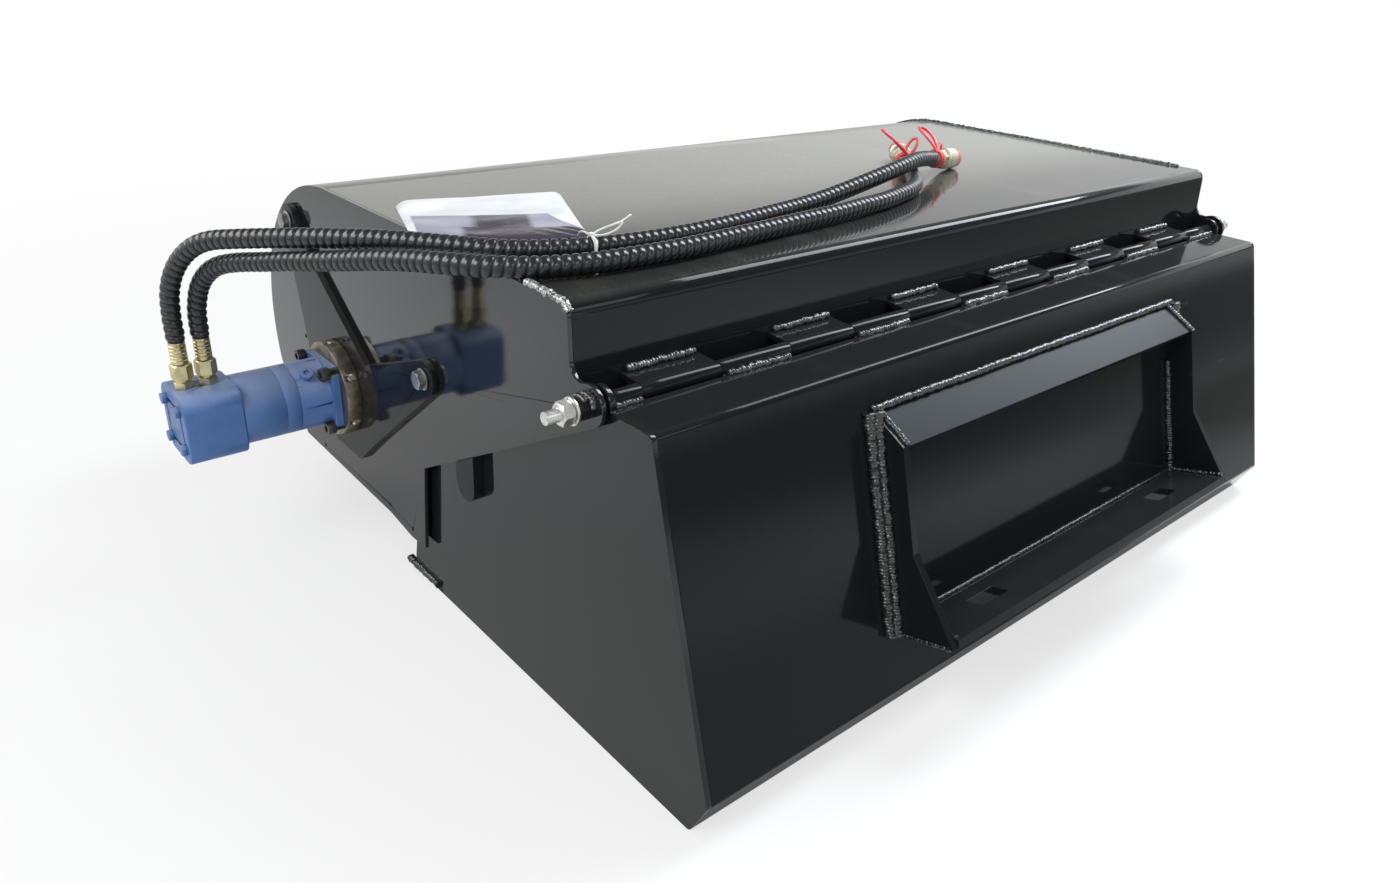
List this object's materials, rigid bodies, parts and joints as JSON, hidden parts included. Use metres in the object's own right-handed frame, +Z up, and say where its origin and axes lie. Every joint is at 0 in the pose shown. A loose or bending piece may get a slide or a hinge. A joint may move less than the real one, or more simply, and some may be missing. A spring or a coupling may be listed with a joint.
{
  "type": "sweeper broom bucket",
  "caption": "Bucket with a hinged hood that carries a hydraulic pick-up broom, driven by a side motor with two guarded hoses, and a quick-attach frame on its back.",
  "frame": {"origin": "middle of the bucket floor's underside, at mid width", "axes": "+X to the motor side, +Y to the rear, where the machine couples, +Z up"},
  "size_m": [1.862, 1.2946, 0.6844],
  "materials": {
    "black_paint": "high-gloss powder coat",
    "zinc": "bright zinc",
    "dark_steel": "black oxide",
    "bare_steel": "turned, slightly oxidised",
    "motor_blue": "satin paint",
    "bearing_paint": "satin paint",
    "yellow_zinc": "yellow passivated zinc",
    "hose_guard": "glossy spiral guard",
    "coupler_metal": "satin plated",
    "red_plastic": "gloss",
    "white_pouch": "creased film",
    "white_nylon": "moulded",
    "galvanised_ring": "galvanised",
    "bristle": "drawn filament"
  },
  "bodies": {
    "bucket": {"bucket_shell": "black_paint", "bucket_side_left": "black_paint", "bucket_side_right": "black_paint", "cutting_edge": "black_paint", "quick_attach_hook_plate": "black_paint", "quick_attach_ear_left": "black_paint", "quick_attach_ear_right": "black_paint", "quick_attach_ledge": "black_paint", "bucket_hinge_knuckles": "black_paint", "hood_stop_lugs": "black_paint"},
    "hood": {"hinge_rod": "zinc", "hinge_rod_nuts": "zinc", "hinge_rod_washers": "zinc", "hinge_rod_collars": "black_paint", "hood_skin": "black_paint", "hood_side_left": "black_paint", "hood_side_right": "black_paint", "hood_hinge_knuckles": "black_paint", "motor_bracket": "black_paint", "motor_ring": "bare_steel", "motor_ring_screws": "zinc", "bracket_bolts": "dark_steel", "bracket_nuts": "zinc", "motor_flange_housing": "motor_blue", "motor_wear_plate": "motor_blue", "motor_gear_ring": "motor_blue", "motor_port_housing": "motor_blue", "motor_flange_screws": "dark_steel", "motor_end_screws": "motor_blue", "motor_drain_plug": "motor_blue", "port_adapters": "zinc", "swivel_nuts": "yellow_zinc", "motor_side_ferrules": "yellow_zinc", "hose_supply": "hose_guard", "hose_return": "hose_guard", "coupler_side_ferrules": "yellow_zinc", "coupler_socket": "coupler_metal", "coupler_plug": "coupler_metal", "coupler_dust_caps": "red_plastic", "coupler_cap_cords": "red_plastic", "manual_pouch": "white_pouch", "pouch_tie": "white_nylon", "idler_backing_plate": "black_paint", "idler_bearing_housing": "bearing_paint", "idler_bearing_bolts": "zinc", "idler_bearing_nuts": "zinc"},
    "brush": {"brush_core_tube": "black_paint", "brush_drive_bars": "black_paint", "brush_end_disc_left": "black_paint", "brush_end_disc_right": "black_paint", "brush_wafer_rings": "galvanised_ring", "brush_bristle_packs": "bristle", "drive_hub": "dark_steel", "idler_hub": "dark_steel", "hub_bolts": "zinc", "motor_shaft": "bare_steel", "motor_rotor": "bare_steel", "idler_shaft": "bare_steel"}
  },
  "joints": [
    {"name": "hood_lift", "type": "hinge", "parent": "bucket", "child": "hood", "pos_m": [0, 0.169, 0.497], "axis": [-1, 0, 0], "range_deg": [0, 75]},
    {"name": "brush_spin", "type": "hinge", "parent": "hood", "child": "brush", "pos_m": [0, -0.515, 0.275], "axis": [1, 0, 0], "continuous": true}
  ]
}
